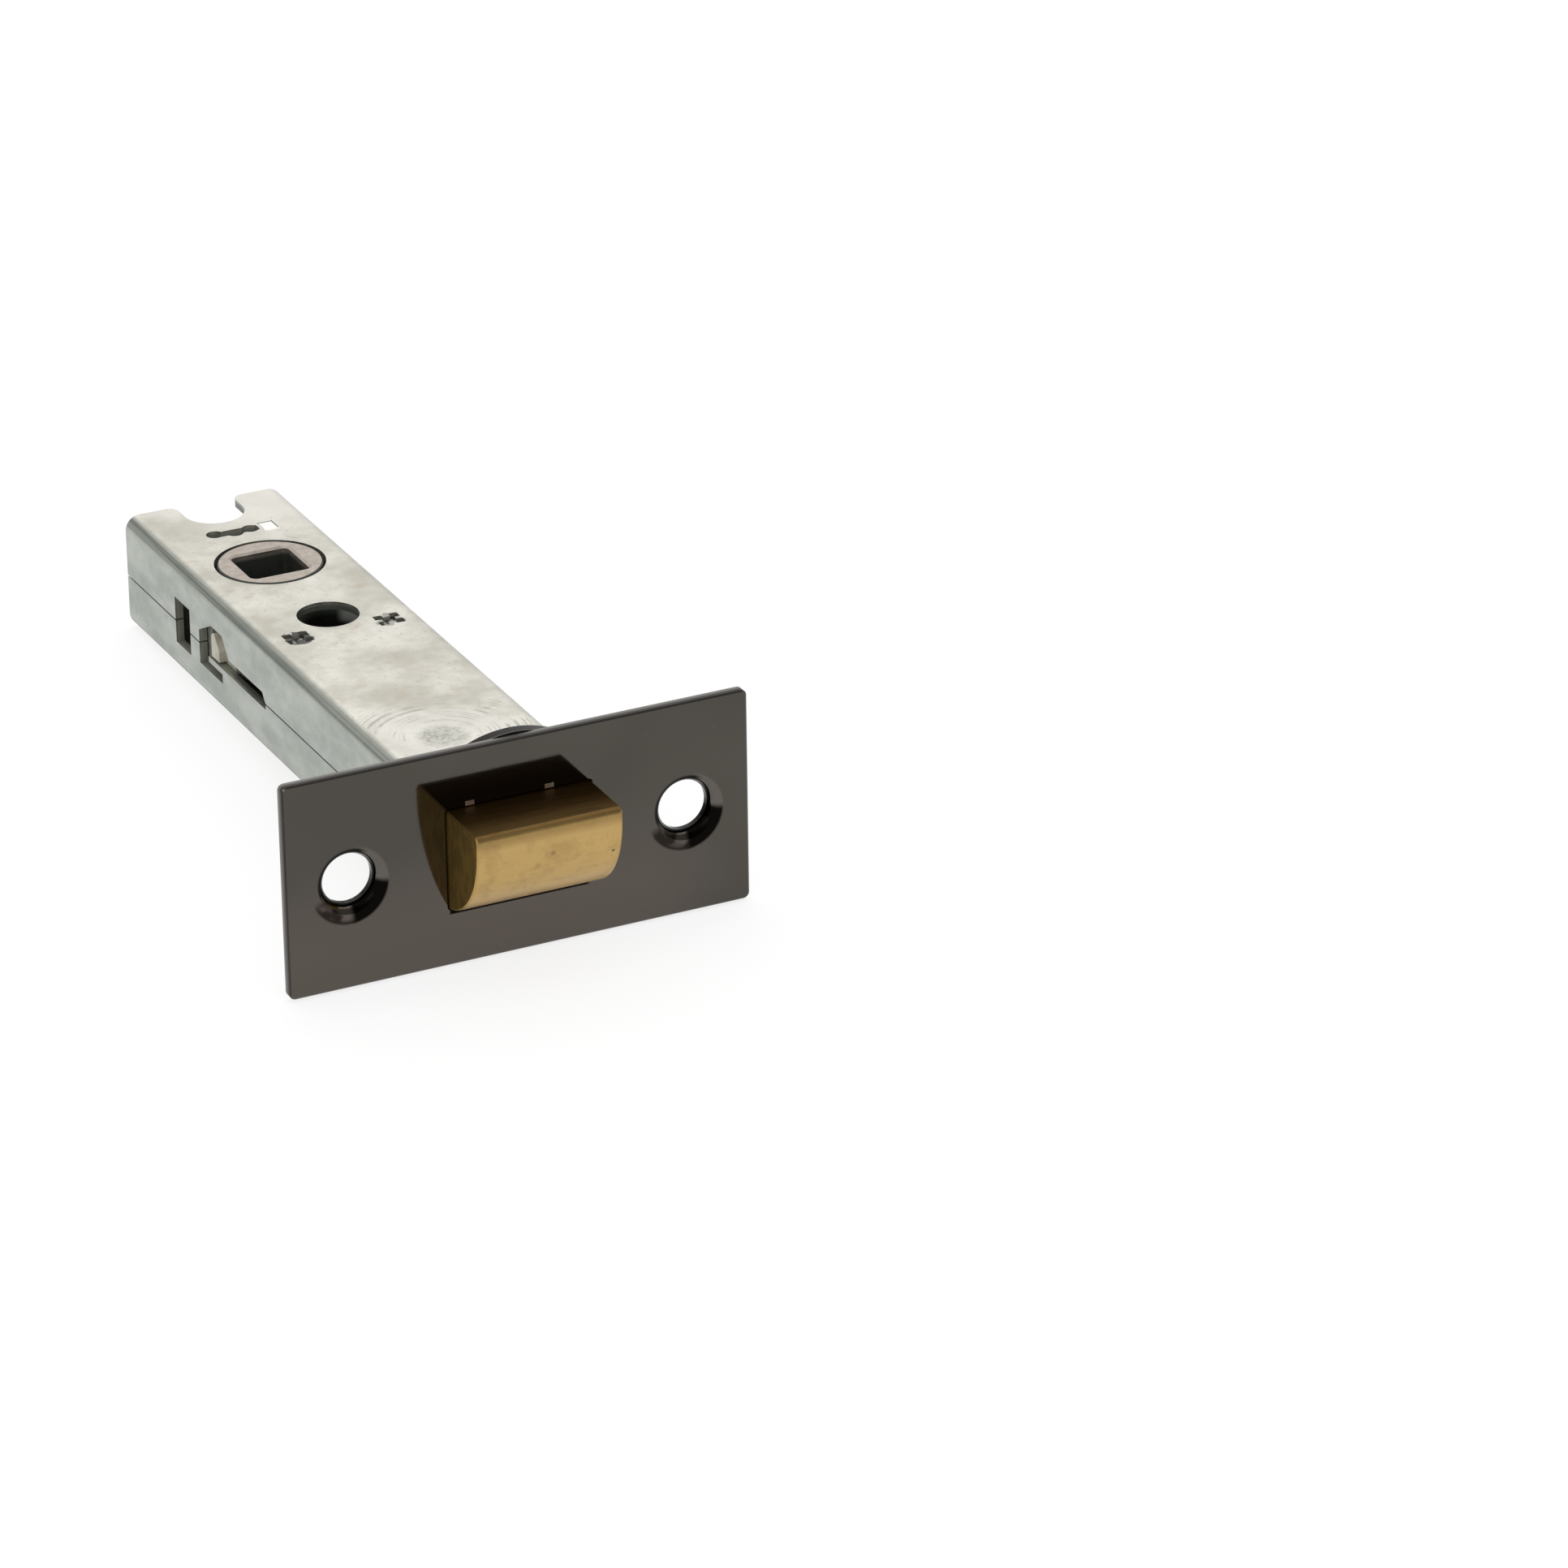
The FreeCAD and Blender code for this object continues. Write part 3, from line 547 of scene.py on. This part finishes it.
def make_springs():
    """The bolt's spring in two halves, which meet at the yoke, and the two return springs."""
    wire = make_cast("spring_wire", (0.16, 0.155, 0.15), (0.24, 0.235, 0.225), 0.30)
    front = make_coil("bolt_spring_front", BOLT_COIL, 0.0, BOLT_TAIL, PLATE_FRONT, (0.0, 0.5), wire)
    rear = make_coil("bolt_spring_rear", BOLT_COIL, 0.0, BOLT_TAIL, PLATE_FRONT, (0.5, 1.0), wire)
    press(front, "bolt_spring")
    press(rear, "bolt_spring")
    for node, x in (("return_spring_left", -RETURN_PLACE), ("return_spring_right", RETURN_PLACE)):
        coil = make_coil(node + "_coil", RETURN_COIL, x, PLATE_BACK, SLIDE_FRONT, (0.0, 1.0), wire)
        press(coil, node)


def make_lug_heads(material):
    """The heads of the slide's lugs, which stand in the side windows, sloped in front and rounded behind."""
    outline = [(LUG_LOW.y, LUG_SLOPE), (LUG_LOW.y, LUG_LOW.z), (LUG_HIGH.y, LUG_LOW.z)]
    for step in range(CORNER_STEPS + 1):
        angle = math.radians(step * 90 / CORNER_STEPS)
        outline.append((LUG_HIGH.y - LUG_CORNER + LUG_CORNER * math.cos(angle),
                        LUG_HIGH.z - LUG_CORNER + LUG_CORNER * math.sin(angle)))
    count = len(outline)
    faces = [tuple(range(count)), tuple(range(2 * count - 1, count - 1, -1))]
    for first in range(count):
        second = (first + 1) % count
        faces.append((first, first + count, second + count, second))
    turned_faces = [face[::-1] for face in faces]
    for name, side, skin in (("lug_head_left", -1, turned_faces), ("lug_head_right", 1, faces)):
        corners = [Vector((side * x, y, z)) * MM for x in (LUG_LOW.x, LUG_HIGH.x) for y, z in outline]
        head = add_piece(name, corners, skin, material)
        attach(head, "slide")


def dress(material, *names):
    """Gives CAD nodes a material."""
    for name in names:
        mesh = nodes[name].data
        mesh.materials.clear()
        mesh.materials.append(material)


def seen_rays(made):
    """One for rays from the camera, from mirrors and through glass, and the part of it from mirrors."""
    path = made.add("ShaderNodeLightPath")
    mirrored = path.outputs["Is Glossy Ray"]
    return made.most(path.outputs["Is Camera Ray"], mirrored, path.outputs["Is Transmission Ray"]), mirrored


def make_paper():
    """Pale paper, mostly plain white where it is seen or mirrored, with a share of its shading kept."""
    made = Shader("floor_paper", Roughness=0.9)
    pale = made.span(made.noise(0.02), 0.3, 0.7)
    made.set("Base Color", made.mix(pale, rgb(0.90, 0.90, 0.90), rgb(0.92, 0.92, 0.92)))
    seen = seen_rays(made)[0]
    white = made.add("ShaderNodeEmission", {"Color": rgb(1, 1, 1), "Strength": FLOOR_WHITE}).outputs[0]
    share = made.times(seen, 1 - FLOOR_SHADING)
    mixed = made.add("ShaderNodeMixShader", {0: share, 1: made.bsdf.outputs[0], 2: white}).outputs[0]
    made.put(made.tree.nodes["Material Output"].inputs["Surface"], mixed)
    return made.material


def make_floor():
    """A pale floor under the collar's rim and the lower edge of the case's end."""
    front = Vector((0, collar_low.y, collar_low.z)) * MM
    back = Vector((0, case_high.y, case_low.z)) * MM
    run = (back - front).normalized() * FLOOR_REACH
    corners = [front + run * forward + Vector((side * FLOOR_REACH, 0, 0))
               for side, forward in ((-1, -1), (1, -1), (1, 1), (-1, 1))]
    floor = add_piece("floor", corners, [(0, 1, 2, 3)], make_paper())
    floor.location.z = -FLOOR_GAP


def make_light(name, place, aim, size, power, colour):
    """A soft square light that faces a point."""
    data = bpy.data.lights.new(name, "AREA")
    data.shape = "SQUARE"
    data.size = size
    data.energy = power
    data.color = colour
    light = add_object(name, data)
    light.location = place
    light.rotation_mode = "QUATERNION"
    light.rotation_quaternion = (Vector(aim) - Vector(place)).to_track_quat("-Z", "Y")


def make_world():
    """White where it is seen or mirrored, dimmer as a light, and a dark room mirrored above the camera."""
    world = bpy.data.worlds.new("studio")
    bpy.context.scene.world = world
    world.use_nodes = True
    made = Nodes(world.node_tree, "Generated")
    seen, mirrored = seen_rays(made)
    toward = made.add("ShaderNodeVectorMath", {0: made.place, 1: DARK_SIDE}, operation="DOT_PRODUCT")
    room = made.times(made.span(toward.outputs["Value"], 0.74, 0.94), mirrored)
    level = made.span(seen, 0.0, 1.0, WORLD_LIGHT, 1.0)
    background = made.tree.nodes["Background"]
    made.put(background.inputs["Color"], rgb(1, 1, 1))
    made.put(background.inputs["Strength"], made.math("SUBTRACT", level, made.times(room, DARKNESS)))


def make_camera():
    """The camera at the photograph's place."""
    back = Vector((math.sin(AZIMUTH) * math.cos(ELEVATION), -math.cos(AZIMUTH) * math.cos(ELEVATION),
                   math.sin(ELEVATION)))
    right = Vector((math.cos(AZIMUTH), math.sin(AZIMUTH), 0))
    up = back.cross(right)
    rolled_right = right * math.cos(ROLL) + up * math.sin(ROLL)
    rolled_up = up * math.cos(ROLL) - right * math.sin(ROLL)
    data = bpy.data.cameras.new("camera")
    data.lens = LENS
    data.sensor_width = SENSOR
    data.clip_start = 0.01
    camera = add_object("camera", data)
    turn = Matrix((rolled_right, rolled_up, back)).transposed().to_4x4()
    camera.matrix_world = Matrix.Translation(EYE) @ turn
    bpy.context.scene.camera = camera


# Materials and added pieces
dress(make_black_nickel(), "forend", "collar")
dress(make_zinc(), "case_upper", "case_lower", "rear_plate")
dress(make_cast("plate_zinc", (0.20, 0.208, 0.182), (0.30, 0.31, 0.275), 0.45, 0.4), "spring_plate")
dress(make_tube_steel(), "post_tube")
dress(make_brass(), "latch_bolt")
dress(make_cast("inner_steel", (0.24, 0.245, 0.21), (0.33, 0.335, 0.30), 0.42, 0.4), "yoke", "bolt_pin")
dress(make_follower_metal(), "follower")
nylon = make_nylon()
dress(nylon, "return_slide")
make_lug_heads(nylon)
make_springs()

# Studio and camera
make_floor()
make_light("overhead", (0.05, 0.30, 0.62), (0, 0.05, 0), 0.9, 1.5, (1.0, 0.985, 0.96))
make_light("front_fill", (-0.6, -0.7, 0.55), (0, 0.02, 0), 0.5, 1.2, (0.97, 0.985, 1.0))
make_world()
make_camera()
bpy.context.scene.view_settings.view_transform = "Standard"
